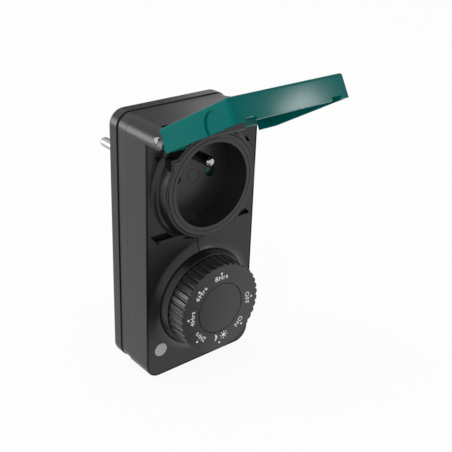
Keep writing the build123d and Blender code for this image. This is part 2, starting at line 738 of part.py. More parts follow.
# ================================================================ socket
with BuildPart() as socket_insert:
    # Front of the collar, with a square key blended into its upper left.
    extrude(
        keyed_outline(-SOCKET_FLARE_OUT - SLIDING_GAP, 0, 0),
        amount=COLLAR_OUT - SOCKET_FLARE_OUT - SLIDING_GAP,
    )
    fillet(socket_insert.faces().sort_by(Axis.Y)[0].edges(), SLIDING_GAP)
    # Collar tube, flange and body, then the well.
    for depth, radius, length in (
        (WALL, COLLAR_RADIUS, WALL + SOCKET_FLARE_OUT + SLIDING_GAP),
        (WALL + INSERT_FLANGE_THICKNESS, INSERT_FLANGE_RADIUS, INSERT_FLANGE_THICKNESS),
        (FLOOR_BACK, INSERT_BODY_RADIUS, FLOOR_BACK - WALL - INSERT_FLANGE_THICKNESS),
    ):
        extrude(discs(depth, radius, [(0, SOCKET_HEIGHT)]), amount=length)
    extrude(
        discs(WELL_FLOOR, WELL_RADIUS, [(0, SOCKET_HEIGHT)]),
        amount=WELL_DEPTH,
        mode=Mode.SUBTRACT,
    )
    with BuildSketch(behind(-COLLAR_OUT + SLIDING_GAP)) as collar_line:
        with Locations((0, SOCKET_HEIGHT)):
            Circle(COLLAR_LINE_RADIUS + SLIDING_GAP / 2)
            Circle(COLLAR_LINE_RADIUS - SLIDING_GAP / 2, mode=Mode.SUBTRACT)
    extrude(amount=SLIDING_GAP, mode=Mode.SUBTRACT)
    with BuildSketch(behind(WELL_FLOOR + SLIDING_GAP / 2)) as floor_ring:
        with Locations((0, SOCKET_HEIGHT)):
            Circle(FLOOR_RING_RADIUS + SLIDING_GAP)
            Circle(FLOOR_RING_RADIUS, mode=Mode.SUBTRACT)
    extrude(amount=SLIDING_GAP / 2, mode=Mode.SUBTRACT)
    extrude(
        discs(FLOOR_BACK, ENTRY_RADIUS, CONTACT_HOLES),
        amount=WELL_FLOOR_THICKNESS,
        mode=Mode.SUBTRACT,
    )
    extrude(
        discs(FLOOR_BACK, PIN_RADIUS + FIT_GAP, [(0, EARTH_HEIGHT)]),
        amount=WELL_FLOOR_THICKNESS,
        mode=Mode.SUBTRACT,
    )
export(socket_insert, "socket_insert")

with BuildPart() as earth_pin:
    with BuildSketch(half_section(EARTH_HEIGHT)) as earth_profile:
        with BuildLine():
            tip = WELL_FLOOR - EARTH_PIN_OUT
            Polyline(
                (PIN_RADIUS, tip + PIN_RADIUS),
                (PIN_RADIUS, WELL_FLOOR - PIN_NECK_OUT),
                (PIN_NECK_RADIUS, WELL_FLOOR - PIN_NECK_OUT),
                (PIN_NECK_RADIUS, FLOOR_BACK),
                (EARTH_COLLAR_RADIUS, FLOOR_BACK),
                (EARTH_COLLAR_RADIUS, FLOOR_BACK + EARTH_COLLAR_THICKNESS),
                (EARTH_TAIL_RADIUS, FLOOR_BACK + EARTH_COLLAR_THICKNESS),
                (EARTH_TAIL_RADIUS, EARTH_TAIL_END),
                (0, EARTH_TAIL_END),
                (0, tip),
            )
            TangentArc((PIN_RADIUS, tip + PIN_RADIUS), (0, tip), tangent=(0, -1))
        make_face()
    revolve(axis=front_to_back(EARTH_HEIGHT))
export(earth_pin, "earth_pin")

with BuildPart() as shutter:
    with BuildSketch(behind(SHUTTER_BACK)) as shutter_profile:
        with Locations((0, SOCKET_HEIGHT)):
            SlotOverall(SHUTTER_LENGTH, SHUTTER_WIDTH)
            Circle(SHUTTER_HUB_RADIUS)
            Circle(PIVOT_RADIUS + HINGE_GAP, mode=Mode.SUBTRACT)
    extrude(amount=SHUTTER_THICKNESS)
    chamfer(shutter.edges().filter_by(Axis.X).group_by(Axis.Y)[0], SHUTTER_THICKNESS / 3)
export(shutter, "shutter")

with BuildPart() as contact_block:
    extrude(
        discs(BLOCK_BACK, CONTACT_BLOCK_RADIUS, [(0, SOCKET_HEIGHT)]),
        amount=BLOCK_BACK - FLOOR_BACK,
    )
    extrude(
        discs(BLOCK_FLOOR, CONTACT_BLOCK_RADIUS - CONTACT_BLOCK_RIM, [(0, SOCKET_HEIGHT)]),
        amount=SHUTTER_SPACE,
        mode=Mode.SUBTRACT,
    )
    extrude(
        discs(BLOCK_FLOOR, PIVOT_RADIUS, [(0, SOCKET_HEIGHT)]), amount=SHUTTER_SPACE - FIT_GAP
    )
    extrude(
        panel(
            BLOCK_BACK + SPINE_LENGTH,
            -SPINE_WIDTH / 2,
            SPINE_WIDTH / 2,
            SOCKET_HEIGHT - SPINE_HEIGHT / 2,
            SOCKET_HEIGHT + SPINE_HEIGHT / 2,
        ),
        amount=SPINE_LENGTH,
    )
    extrude(
        discs(BLOCK_BACK, ENTRY_RADIUS + SLIDING_GAP, CONTACT_HOLES),
        amount=CONTACT_BLOCK_FLOOR,
        mode=Mode.SUBTRACT,
    )
    extrude(
        discs(BLOCK_BACK, EARTH_TAIL_RADIUS + FIT_GAP, [(0, EARTH_HEIGHT)]),
        amount=CONTACT_BLOCK_FLOOR,
        mode=Mode.SUBTRACT,
    )
    extrude(discs(BLOCK_FLOOR, SMALL_SCREW_HEAD_RADIUS, BLOCK_SCREWS), amount=SHUTTER_SPACE)
    extrude(
        discs(BLOCK_BACK, SMALL_SCREW_RADIUS + FIT_GAP, BLOCK_SCREWS),
        amount=BLOCK_BACK - FLOOR_BACK,
        mode=Mode.SUBTRACT,
    )
export(contact_block, "contact_block")

# The screws end in blind holes in the back of the well's floor.
with BuildPart() as block_screws:
    extrude(
        discs(BLOCK_BACK, SMALL_SCREW_RADIUS, BLOCK_SCREWS), amount=BLOCK_BACK - FLOOR_BACK
    )
    extrude(
        discs(BLOCK_BACK + SMALL_SCREW_HEAD_HEIGHT, SMALL_SCREW_HEAD_RADIUS, BLOCK_SCREWS),
        amount=SMALL_SCREW_HEAD_HEIGHT,
    )
export(block_screws, "block_screws")

# A flat coil that turns the shutter back over the contact holes.
with BuildPart() as shutter_spring:
    with BuildSketch(behind(BLOCK_FLOOR)) as spring_ring:
        with Locations((0, SOCKET_HEIGHT)):
            Circle(SHUTTER_SPRING_RADIUS)
            Circle(PIVOT_RADIUS + SLIDING_GAP, mode=Mode.SUBTRACT)
    extrude(amount=BLOCK_FLOOR - SHUTTER_BACK - FIT_GAP)
export(shutter_spring, "shutter_spring")


def fork(side):
    """Two sprung leaves and their bridge, gripping a pin beside the block's spine."""
    centre = side * CONTACT_X
    half = CONTACT_GAP / 2 + CONTACT_METAL
    with BuildPart() as clip:
        extrude(
            panel(
                CONTACT_START + CONTACT_LENGTH,
                centre - half,
                centre + half,
                SOCKET_HEIGHT - CONTACT_HEIGHT / 2,
                SOCKET_HEIGHT + CONTACT_HEIGHT / 2,
            ),
            amount=CONTACT_LENGTH,
        )
        extrude(
            panel(
                CONTACT_START + CONTACT_LENGTH,
                centre - CONTACT_GAP / 2,
                centre + CONTACT_GAP / 2,
                SOCKET_HEIGHT - CONTACT_HEIGHT,
                SOCKET_HEIGHT + CONTACT_HEIGHT / 2 - CONTACT_METAL,
            ),
            amount=CONTACT_LENGTH,
            mode=Mode.SUBTRACT,
        )
    return clip.part


def blade(side):
    """Strip from a fork down to the circuit board."""
    inner, outer = sorted((side * CONTACT_OUTER, side * (CONTACT_OUTER + CONTACT_METAL)))
    with BuildPart() as strip:
        extrude(
            panel(
                BOARD_DEPTH, inner, outer, BOARD_TOP - BLADE_DROP, SOCKET_HEIGHT + BUS_FOOT_HALF
            ),
            amount=BOARD_DEPTH - CONTACT_START - CONTACT_METAL,
        )
    return strip.part


with BuildPart() as live_contact:
    add(fork(1))
export(live_contact, "live_contact")

with BuildPart() as neutral_contact:
    add(fork(-1))
export(neutral_contact, "neutral_contact")

with BuildPart() as switched_live_strip:
    add(blade(1))
export(switched_live_strip, "switched_live_strip")

with BuildPart() as neutral_strip:
    add(blade(-1))
    strip_outer = -CONTACT_OUTER - CONTACT_METAL
    extrude(
        panel(
            PLUG_HEAD_FRONT,
            strip_outer,
            -CONTACT_OUTER,
            SOCKET_HEIGHT - BUS_FOOT_HALF,
            SOCKET_HEIGHT + BUS_FOOT_HALF,
        ),
        amount=PLUG_HEAD_FRONT - BOARD_DEPTH,
    )
    extrude(
        panel(
            PLUG_HEAD_FRONT,
            strip_outer,
            -CONTACT_X + PIN_RADIUS,
            SOCKET_HEIGHT - BUS_FOOT_HALF,
            SOCKET_HEIGHT + BUS_FOOT_HALF,
        ),
        amount=CONTACT_METAL,
    )
export(neutral_strip, "neutral_strip")

# ================================================================ plug
with BuildPart() as plug_cap:
    extrude(
        discs(PLUG_FACE, PLUG_INNER_RADIUS - FIT_GAP, [(0, SOCKET_HEIGHT)]),
        amount=PLUG_CAP_THICKNESS,
    )
    extrude(
        discs(PLUG_FACE, PIN_RADIUS + FIT_GAP, CONTACT_HOLES),
        amount=PLUG_CAP_THICKNESS,
        mode=Mode.SUBTRACT,
    )
    extrude(
        discs(PLUG_FACE, EARTH_TUBE_RADIUS + FIT_GAP, [(0, EARTH_HEIGHT)]),
        amount=PLUG_CAP_THICKNESS,
        mode=Mode.SUBTRACT,
    )
export(plug_cap, "plug_cap")

for name, side in (("neutral_plug_pin", -1), ("live_plug_pin", 1)):
    with BuildPart() as plug_pin:
        with BuildSketch(half_section(SOCKET_HEIGHT, side * CONTACT_X)) as pin_profile:
            with BuildLine():
                tip = PLUG_FACE + PLUG_PIN_LENGTH
                Polyline(
                    (0, tip),
                    (0, PLUG_HEAD_FRONT),
                    (PLUG_HEAD_RADIUS, PLUG_HEAD_FRONT),
                    (PLUG_HEAD_RADIUS, PLUG_CAP_FRONT),
                    (PIN_NECK_RADIUS, PLUG_CAP_FRONT),
                    (PIN_NECK_RADIUS, PLUG_FACE + PIN_NECK_OUT),
                    (PIN_RADIUS, PLUG_FACE + PIN_NECK_OUT),
                    (PIN_RADIUS, tip - PIN_RADIUS),
                )
                TangentArc((PIN_RADIUS, tip - PIN_RADIUS), (0, tip), tangent=(0, 1))
            make_face()
        revolve(axis=front_to_back(SOCKET_HEIGHT, side * CONTACT_X))
    export(plug_pin, name)

# Strip from the live pin's head, under the socket and down behind the board.
with BuildPart() as live_feed_strip:
    extrude(
        panel(
            PLUG_HEAD_FRONT,
            LIVE_INNER,
            LIVE_OUTER,
            LIVE_DROP,
            SOCKET_HEIGHT + PIN_RADIUS,
        ),
        amount=CONTACT_METAL,
    )
    extrude(
        panel(
            PLUG_HEAD_FRONT,
            LIVE_INNER,
            LIVE_OUTER,
            LIVE_DROP,
            LIVE_DROP + CONTACT_METAL,
        ),
        amount=PLUG_HEAD_FRONT - BOARD_BACK,
    )
    extrude(
        panel(
            BOARD_BACK + CONTACT_METAL,
            LIVE_INNER,
            LIVE_OUTER,
            BOARD_TOP - BLADE_DROP,
            LIVE_DROP + CONTACT_METAL,
        ),
        amount=CONTACT_METAL,
    )
export(live_feed_strip, "live_feed_strip")

with BuildPart() as plug_earth_tube:
    extrude(
        discs(PLUG_FACE, EARTH_TUBE_RADIUS, [(0, EARTH_HEIGHT)]),
        amount=PLUG_FACE - EARTH_TUBE_BASE,
    )
    extrude(
        discs(PLUG_FACE, PIN_RADIUS + FIT_GAP, [(0, EARTH_HEIGHT)]),
        amount=PLUG_FACE - EARTH_TUBE_BASE - CONTACT_METAL,
        mode=Mode.SUBTRACT,
    )
export(plug_earth_tube, "plug_earth_tube")

with BuildPart() as earth_strap:
    extrude(
        panel(
            BLOCK_BACK + CONTACT_METAL,
            -BUS_FOOT_HALF,
            BUS_FOOT_HALF,
            EARTH_HEIGHT - BUS_FOOT_HALF,
            STRAP_TOP,
        ),
        amount=CONTACT_METAL,
    )
    extrude(
        panel(
            EARTH_TUBE_BASE,
            -BUS_FOOT_HALF,
            BUS_FOOT_HALF,
            STRAP_TOP - CONTACT_METAL,
            STRAP_TOP,
        ),
        amount=EARTH_TUBE_BASE - BLOCK_BACK,
    )
    extrude(
        panel(
            EARTH_TUBE_BASE,
            -BUS_FOOT_HALF,
            BUS_FOOT_HALF,
            EARTH_HEIGHT - BUS_FOOT_HALF,
            STRAP_TOP,
        ),
        amount=CONTACT_METAL,
    )
    extrude(
        discs(BLOCK_BACK + CONTACT_METAL, EARTH_TAIL_RADIUS + FIT_GAP, [(0, EARTH_HEIGHT)]),
        amount=CONTACT_METAL,
        mode=Mode.SUBTRACT,
    )
export(earth_strap, "earth_strap")

with BuildPart() as earth_nut:
    nut_back = BLOCK_BACK + CONTACT_METAL + EARTH_NUT_THICKNESS
    with BuildSketch(behind(nut_back)) as nut_profile:
        with Locations((0, EARTH_HEIGHT)):
            RegularPolygon(EARTH_COLLAR_RADIUS, 6)
            Circle(EARTH_TAIL_RADIUS + FIT_GAP, mode=Mode.SUBTRACT)
    extrude(amount=EARTH_NUT_THICKNESS)
export(earth_nut, "earth_nut")

# Sprung side contacts, one in each groove of the plug body.
with BuildPart() as plug_earth_clips:
    groove_floor = PLUG_RADIUS - CLIP_GROOVE_DEPTH
    clip_start = CASE_DEPTH + CLIP_ROOT_GAP
    clip_end = PLUG_FACE - CLIP_FACE_GAP
    clip_middle = (clip_start + clip_end) / 2
    for side in (-1, 1):
        centre_line = [
            (clip_start, 0),
            (clip_start + CLIP_FOOT, 0),
            (clip_middle, CLIP_BOW),
            (clip_end - CLIP_FOOT, 0),
            (clip_end, 0),
        ]
        lower = [(depth, groove_floor + rise) for depth, rise in centre_line]
        upper = [(depth, groove_floor + rise + CLIP_METAL) for depth, rise in centre_line[::-1]]
        extrude(
            closed_outline(
                [(depth, SOCKET_HEIGHT + side * reach) for depth, reach in lower + upper],
                side_view(-CLIP_WIDTH / 2),
            ),
            amount=CLIP_WIDTH,
            dir=(1, 0, 0),
        )
export(plug_earth_clips, "plug_earth_clips")

# ================================================================ lid
with BuildPart() as lid:
    hood_height = -LID_LOWER_EDGE - LID_TOP_GAP
    hood_middle = (LID_LOWER_EDGE - LID_TOP_GAP) / 2
    hollow_height = hood_height - LID_WALL - LID_END_WALL
    hollow_middle = hood_middle + (LID_END_WALL - LID_WALL) / 2
    with BuildSketch(lid_plane(LID_RIM)) as hood_outline:
        with Locations((0, hood_middle)):
            Rectangle(LID_WIDTH, hood_height)
        fillet(hood_outline.vertices().group_by(Axis.Y)[0], LID_CORNER_RADIUS)
    extrude(amount=LID_FRONT - LID_RIM)
    fillet(lid.faces().sort_by(LID_AXIS)[-1].edges(), LID_EDGE_ROUNDING)
    with BuildSketch(lid_plane(LID_RIM)) as hood_hollow:
        with Locations((0, hollow_middle)):
            RectangleRounded(
                LID_WIDTH - 2 * LID_WALL, hollow_height, LID_HOLLOW_RADIUS
            )
    extrude(amount=LID_INNER_FACE - LID_RIM, mode=Mode.SUBTRACT)
    # Hollow edge that swings round the ears and the centre lug.
    with BuildSketch(lid_section(0)) as swing_room:
        Circle(LUG_OUT - HINGE_OUT + LID_SWING_GAP)
    extrude(amount=LID_WIDTH, both=True, mode=Mode.SUBTRACT)
    # The wall next to the hinge stays only in front of the ears.
    with BuildSketch(lid_plane(LID_RIM)) as open_back:
        with Locations((0, -LID_TOP_GAP - LID_WALL / 2)):
            Rectangle(2 * LID_OPEN_BACK_HALF, 2 * LID_WALL)
    extrude(amount=LID_INNER_FACE - LID_RIM, mode=Mode.SUBTRACT)
    for side in (-1, 1):
        middle = side * (KNUCKLE_START + KNUCKLE_END) / 2
        with BuildSketch(lid_section(middle)) as knuckle_profile:
            Circle(KNUCKLE_RADIUS)
            with Locations(((LID_INNER_FACE + LID_FRONT) / 2, -LID_TOP_GAP)):
                Rectangle(LID_WALL, 2 * LID_TOP_GAP)
            make_hull()
        extrude(amount=(KNUCKLE_END - KNUCKLE_START) / 2, both=True)
    with BuildSketch(lid_section(0)) as knuckle_bore:
        Circle(HINGE_PIN_RADIUS + HINGE_GAP)
    extrude(amount=CASE_WIDTH / 2, both=True, mode=Mode.SUBTRACT)
    # Rim notches in the lower wall.
    for side in (-1, 1):
        with BuildSketch(lid_plane(LID_RIM)) as rim_notch:
            with Locations((side * SLOT_OFFSET, LID_LOWER_EDGE + LID_WALL / 2)):
                Rectangle(LID_NOTCH_WIDTH, 2 * LID_WALL)
        extrude(amount=LID_NOTCH_DEPTH, mode=Mode.SUBTRACT)
    # Thumb recesses in the side walls.
    for side in (-1, 1):
        with BuildSketch(lid_section(side * (LID_WIDTH / 2 - THUMB_DEPTH))) as thumb:
            with Locations((THUMB_OUT - HINGE_OUT, THUMB_HEIGHT - HINGE_Z)):
                Circle(THUMB_RADIUS)
        extrude(amount=-side * 2 * THUMB_DEPTH, mode=Mode.SUBTRACT)
    # Ring that holds the lid seal.
    with BuildSketch(lid_plane(LID_INNER_FACE)) as seal_rib:
        with Locations((0, SOCKET_HEIGHT - HINGE_Z)):
            Circle(LID_SEAL_INNER - FIT_GAP)
            Circle(LID_SEAL_INNER - LID_RIB, mode=Mode.SUBTRACT)
    extrude(amount=-LID_RIB)
export(lid, "lid")

with BuildPart() as lid_seal:
    with BuildSketch(lid_plane(LID_INNER_FACE)) as lid_seal_ring:
        with Locations((0, SOCKET_HEIGHT - HINGE_Z)):
            Circle(LID_SEAL_OUTER)
            Circle(LID_SEAL_INNER, mode=Mode.SUBTRACT)
    extrude(amount=-LID_SEAL_THICKNESS)
export(lid_seal, "lid_seal")

with BuildPart() as hinge_pin:
    with BuildSketch(side_view(-HINGE_PIN_LENGTH / 2)) as pin_end:
        with Locations((-HINGE_OUT, HINGE_Z)):
            Circle(HINGE_PIN_RADIUS)
    extrude(amount=HINGE_PIN_LENGTH)
    chamfer(hinge_pin.edges(), HINGE_PIN_CHAMFER)
export(hinge_pin, "hinge_pin")

# ================================================================ knob
with BuildPart() as knob_bezel:
    revolve(
        closed_outline(
            [
                (BEZEL_RIM_RADIUS, -BEZEL_OUT),
                (BEZEL_RADIUS, -KNOB_FLARE_OUT),
                (BEZEL_RADIUS, WALL),
                (BEZEL_FLANGE_RADIUS, WALL),
                (BEZEL_FLANGE_RADIUS, WALL + BEZEL_FLANGE_THICKNESS),
                (BEZEL_RIM_RADIUS - BEZEL_RIM_WIDTH, WALL + BEZEL_FLANGE_THICKNESS),
                (BEZEL_RIM_RADIUS - BEZEL_RIM_WIDTH, BEZEL_FLOOR + BEZEL_FLOOR_THICKNESS),
                (BEZEL_HUB_RADIUS, BEZEL_FLOOR + BEZEL_FLOOR_THICKNESS),
                (BEZEL_HUB_RADIUS, BEZEL_HUB_DEPTH),
                (SHAFT_RADIUS + FIT_GAP, BEZEL_HUB_DEPTH),
                (SHAFT_RADIUS + FIT_GAP, BEZEL_FLOOR + 2 * O_RING_SECTION),
                (SEAL_SEAT_RADIUS, BEZEL_FLOOR + 2 * O_RING_SECTION),
                (SEAL_SEAT_RADIUS, BEZEL_FLOOR),
                (BEZEL_RIM_RADIUS - BEZEL_RIM_WIDTH, BEZEL_FLOOR),
                (BEZEL_RIM_RADIUS - BEZEL_RIM_WIDTH, -BEZEL_OUT),
            ],
            half_section(KNOB_HEIGHT),
        ),
        axis=front_to_back(KNOB_HEIGHT),
    )
export(knob_bezel, "knob_bezel")

with BuildPart() as shaft_seal:
    with BuildSketch(half_section(KNOB_HEIGHT)) as o_ring_section:
        with Locations((SHAFT_RADIUS + O_RING_SECTION, BEZEL_FLOOR + O_RING_SECTION)):
            Circle(O_RING_SECTION - FIT_GAP)
    revolve(axis=front_to_back(KNOB_HEIGHT))
export(shaft_seal, "shaft_seal")

with BuildPart() as knob:
    with BuildSketch(behind(-KNOB_FOOT_OUT)) as ribbed_outline:
        with Locations((0, KNOB_HEIGHT)):
            Circle(KNOB_RADIUS)
            with PolarLocations(KNOB_RADIUS, KNOB_RIBS):
                Circle(RIB_GROOVE_RADIUS, mode=Mode.SUBTRACT)
    extrude(amount=KNOB_FACE_OUT - KNOB_FOOT_OUT, taper=KNOB_TAPER)
    extrude(
        discs(-KNOB_FOOT_OUT, KNOB_RADIUS - KNOB_WALL, [(0, KNOB_HEIGHT)]),
        amount=KNOB_FACE_OUT - KNOB_FOOT_OUT - KNOB_FACE_THICKNESS,
        mode=Mode.SUBTRACT,
    )
    extrude(
        discs(BEZEL_FLOOR - SLIDING_GAP, KNOB_HUB_RADIUS, [(0, KNOB_HEIGHT)]),
        amount=KNOB_FACE_OUT + BEZEL_FLOOR - SLIDING_GAP,
    )
    extrude(
        discs(-KNOB_FACE_OUT + CAP_THICKNESS, CAP_RADIUS + CAP_GAP, [(0, KNOB_HEIGHT)]),
        amount=CAP_THICKNESS,
        mode=Mode.SUBTRACT,
    )
    with BuildSketch(behind(BEZEL_FLOOR - SLIDING_GAP)) as shaft_socket:
        with Locations((0, KNOB_HEIGHT)):
            Circle(SHAFT_RADIUS + FIT_GAP)
        with Locations((0, KNOB_HEIGHT + SHAFT_FLAT + FIT_GAP + SHAFT_RADIUS)):
            Rectangle(3 * SHAFT_RADIUS, 2 * SHAFT_RADIUS, mode=Mode.SUBTRACT)
    extrude(amount=SHAFT_FRONT + BEZEL_FLOOR - SLIDING_GAP + FIT_GAP, mode=Mode.SUBTRACT)
export(knob, "knob")

with BuildPart() as knob_cap:
    revolve(
        closed_outline(
            [
                (0, -KNOB_FACE_OUT + CAP_THICKNESS),
                (CAP_RADIUS, -KNOB_FACE_OUT + CAP_THICKNESS),
                (CAP_RADIUS, -KNOB_FACE_OUT + FIT_GAP),
                (CAP_RADIUS - CAP_DISH, -KNOB_FACE_OUT),
                (0, -KNOB_FACE_OUT),
            ],
            half_section(KNOB_HEIGHT),
        ),
        axis=front_to_back(KNOB_HEIGHT),
    )
export(knob_cap, "knob_cap")

with BuildPart() as switch_shaft:
    extrude(
        discs(ROTOR_FRONT, SHAFT_RADIUS, [(0, KNOB_HEIGHT)]), amount=ROTOR_FRONT + SHAFT_FRONT
    )
    extrude(
        panel(
            BEZEL_FLOOR - SLIDING_GAP,
            -SHAFT_RADIUS,
            SHAFT_RADIUS,
            KNOB_HEIGHT + SHAFT_FLAT,
            KNOB_HEIGHT + 2 * SHAFT_RADIUS,
        ),
        amount=SHAFT_FRONT + BEZEL_FLOOR,
        mode=Mode.SUBTRACT,
    )
export(switch_shaft, "switch_shaft")

with BuildPart() as switch_rotor:
    with BuildSketch(behind(ROTOR_BACK)) as rotor_profile:
        with Locations((0, KNOB_HEIGHT)):
            Circle(ROTOR_RADIUS)
            with PolarLocations(ROTOR_RADIUS, DETENT_TEETH):
                Circle(ROTOR_THICKNESS / 2, mode=Mode.SUBTRACT)
    extrude(amount=ROTOR_THICKNESS)
export(switch_rotor, "switch_rotor")

with BuildPart() as switch_body:
    half = SWITCH_SIZE / 2
    extrude(
        panel(BOARD_DEPTH, -half, half, KNOB_HEIGHT - half, KNOB_HEIGHT + half),
        amount=SWITCH_LENGTH,
    )
    extrude(
        discs(BOARD_DEPTH - SWITCH_WALL, half - SWITCH_WALL, [(0, KNOB_HEIGHT)]),
        amount=SWITCH_LENGTH - 2 * SWITCH_WALL,
        mode=Mode.SUBTRACT,
    )
    extrude(
        panel(
            ROTOR_BACK + SLIDING_GAP,
            -SPRING_HALF - SLIDING_GAP,
            SPRING_HALF + SLIDING_GAP,
            SPRING_LOW,
            KNOB_HEIGHT,
        ),
        amount=ROTOR_THICKNESS + 2 * SLIDING_GAP,
        mode=Mode.SUBTRACT,
    )
    extrude(
        discs(BOARD_DEPTH, SHAFT_RADIUS + FIT_GAP, [(0, KNOB_HEIGHT)]),
        amount=SWITCH_LENGTH,
        mode=Mode.SUBTRACT,
    )
export(switch_body, "switch_body")

# A flat spring whose bump clicks along the rotor's teeth.
with BuildPart() as detent_spring:
    with BuildSketch(behind(ROTOR_BACK)) as spring_profile:
        with Locations((0, SPRING_LOW + CONTACT_METAL / 2)):
            Rectangle(2 * SPRING_HALF, CONTACT_METAL)
        with Locations((0, KNOB_HEIGHT - ROTOR_RADIUS - SLIDING_GAP - SPRING_BUMP)):
            Circle(SPRING_BUMP)
    extrude(amount=ROTOR_THICKNESS)
export(detent_spring, "detent_spring")

# ================================================================ electronics
with BuildPart() as circuit_board:
    extrude(
        panel(BOARD_BACK, -BOARD_WIDTH / 2, BOARD_WIDTH / 2, BOARD_BOTTOM, BOARD_TOP),
        amount=BOARD_THICKNESS,
    )
    extrude(
        discs(BOARD_BACK, SMALL_SCREW_RADIUS + FIT_GAP, BOARD_SCREWS),
        amount=BOARD_THICKNESS,
        mode=Mode.SUBTRACT,
    )
export(circuit_board, "circuit_board")

with BuildPart() as board_screws:
    extrude(
        discs(BACK_PLATE - SLIDING_GAP, SMALL_SCREW_RADIUS, BOARD_SCREWS),
        amount=BACK_PLATE - SLIDING_GAP - BOARD_DEPTH,
    )
    extrude(
        discs(BOARD_DEPTH, SMALL_SCREW_HEAD_RADIUS, BOARD_SCREWS), amount=SMALL_SCREW_HEAD_HEIGHT
    )
export(board_screws, "board_screws")

# Board parts as (x centre, height centre, width, height, stand-off from the board).
BOXES = {
    "relay": (0.0, RELAY_HEIGHT, 19.0, RELAY_TALL, 14.6),
    "film_capacitor": (-SIDE_PARTS_X, 38.0, 7.6, 17.6, 12.6),
    "bridge_rectifier": (-SIDE_PARTS_X, 22.0, 6.4, 5.0, 2.6),
    "timer_chip": (0.0, 18.0, 8.8, 5.2, 1.8),
}
for name, (x, height, width, tall, stand) in BOXES.items():
    with BuildPart() as board_part:
        extrude(
            panel(
                BOARD_DEPTH, x - width / 2, x + width / 2, height - tall / 2, height + tall / 2
            ),
            amount=stand,
        )
        fillet(board_part.edges().filter_by(Axis.Y), PART_CORNER)
    export(board_part, name)

# Round board parts beside the board's right edge, as (height centre, radius, stand-off).
ROUNDS = {
    "smoothing_capacitor": (47.0, 4.2, 11.5),
    "surge_varistor": (35.0, 3.6, 4.2),
    "fuse": (24.0, 2.4, 8.0),
}
for name, (height, radius, stand) in ROUNDS.items():
    with BuildPart() as board_part:
        extrude(discs(BOARD_DEPTH, radius, [(SIDE_PARTS_X, height)]), amount=stand)
    export(board_part, name)

with BuildPart() as sensor_window:
    extrude(
        discs(WINDOW_THICKNESS, WINDOW_RADIUS, [(SENSOR_X, SENSOR_HEIGHT)]),
        amount=WINDOW_THICKNESS + WINDOW_OUT,
    )
    fillet(sensor_window.faces().sort_by(Axis.Y)[0].edges(), WINDOW_ROUNDING)
export(sensor_window, "sensor_window")

with BuildPart() as light_sensor:
    sensor_back = WINDOW_THICKNESS + SENSOR_THICKNESS
    extrude(
        discs(sensor_back, SENSOR_RADIUS, [(SENSOR_X, SENSOR_HEIGHT)]), amount=SENSOR_THICKNESS
    )
    extrude(
        discs(
            BOARD_DEPTH,
            LEAD_RADIUS,
            [(SENSOR_X + side * LEAD_SPREAD, SENSOR_HEIGHT) for side in (-1, 1)],
        ),
        amount=BOARD_DEPTH - sensor_back,
    )
export(light_sensor, "light_sensor")
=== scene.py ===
"""Outdoor plug-in timer switch: the finish of its pieces, and a plain studio."""

from math import cos, pi, radians, sin

import bpy
from mathutils import Euler, Matrix, Vector
from mathutils.bvhtree import BVHTree


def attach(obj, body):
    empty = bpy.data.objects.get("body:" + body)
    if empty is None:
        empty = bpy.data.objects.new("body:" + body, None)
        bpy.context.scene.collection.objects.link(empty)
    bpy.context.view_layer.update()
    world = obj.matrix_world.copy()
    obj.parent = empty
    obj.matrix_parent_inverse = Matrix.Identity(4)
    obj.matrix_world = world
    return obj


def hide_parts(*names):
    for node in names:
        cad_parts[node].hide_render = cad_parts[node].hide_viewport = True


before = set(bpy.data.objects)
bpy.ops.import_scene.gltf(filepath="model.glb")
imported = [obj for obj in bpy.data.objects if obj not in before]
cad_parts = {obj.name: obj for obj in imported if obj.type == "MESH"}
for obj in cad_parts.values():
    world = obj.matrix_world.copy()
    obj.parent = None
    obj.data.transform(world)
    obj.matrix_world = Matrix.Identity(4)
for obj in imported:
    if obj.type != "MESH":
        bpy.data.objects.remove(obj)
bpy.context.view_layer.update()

MM = 0.001
FRONT_Y = -13.8 * MM


# ---------------------------------------------------------------- case
# The front shell, the side frame and the rear shell are injection-moulded in
# black plastic. Spark erosion gave their moulds a fine texture, and four
# screws from the back pull them together over two rubber loops.
class Finish:
    """A socket in a material, so that sums on it read as plain Python."""

    def __init__(self, tree, socket=None):
        self.tree = tree
        self.socket = socket

    def node(self, kind, settings=None, inputs=None, output=0):
        made = self.tree.nodes.new("ShaderNode" + kind)
        for name, value in (settings or {}).items():
            if name == "stops":
                while len(made.color_ramp.elements) < len(value):
                    made.color_ramp.elements.new(1.0)
                for element, (position, shade) in zip(made.color_ramp.elements, value):
                    element.position = position
                    element.color = shade
            else:
                setattr(made, name, value)
        for name, value in (inputs or {}).items():
            if isinstance(value, Finish):
                self.tree.links.new(value.socket, made.inputs[name])
            else:
                made.inputs[name].default_value = value
        return Finish(self.tree, made.outputs[output])

    def sum(self, operation, first, second):
        return self.node("Math", {"operation": operation}, {0: first, 1: second})

    def mixed(self, factor, first, second):
        return self.node("Mix", {"data_type": "RGBA"}, {0: factor, 6: first, 7: second}, 2)

    def __add__(self, other):
        return self.sum("ADD", self, other)

    def __radd__(self, other):
        return self.sum("ADD", other, self)

    def __sub__(self, other):
        return self.sum("SUBTRACT", self, other)

    def __rsub__(self, other):
        return self.sum("SUBTRACT", other, self)

    def __mul__(self, other):
        return self.sum("MULTIPLY", self, other)

    def __rmul__(self, other):
        return self.sum("MULTIPLY", other, self)


def new_finish(name, **constants):
    """A material with its fixed values set, its shader and an empty socket to build on."""
    material = bpy.data.materials.new(name)
    material.use_nodes = True
    shader = material.node_tree.nodes["Principled BSDF"]
    for socket, value in constants.items():
        shader.inputs[socket.replace("_", " ")].default_value = value
    return material, shader, Finish(material.node_tree)


def feed(shader, socket, value):
    """Link a finish's socket to its shader."""
    value.tree.links.new(value.socket, shader.inputs[socket])


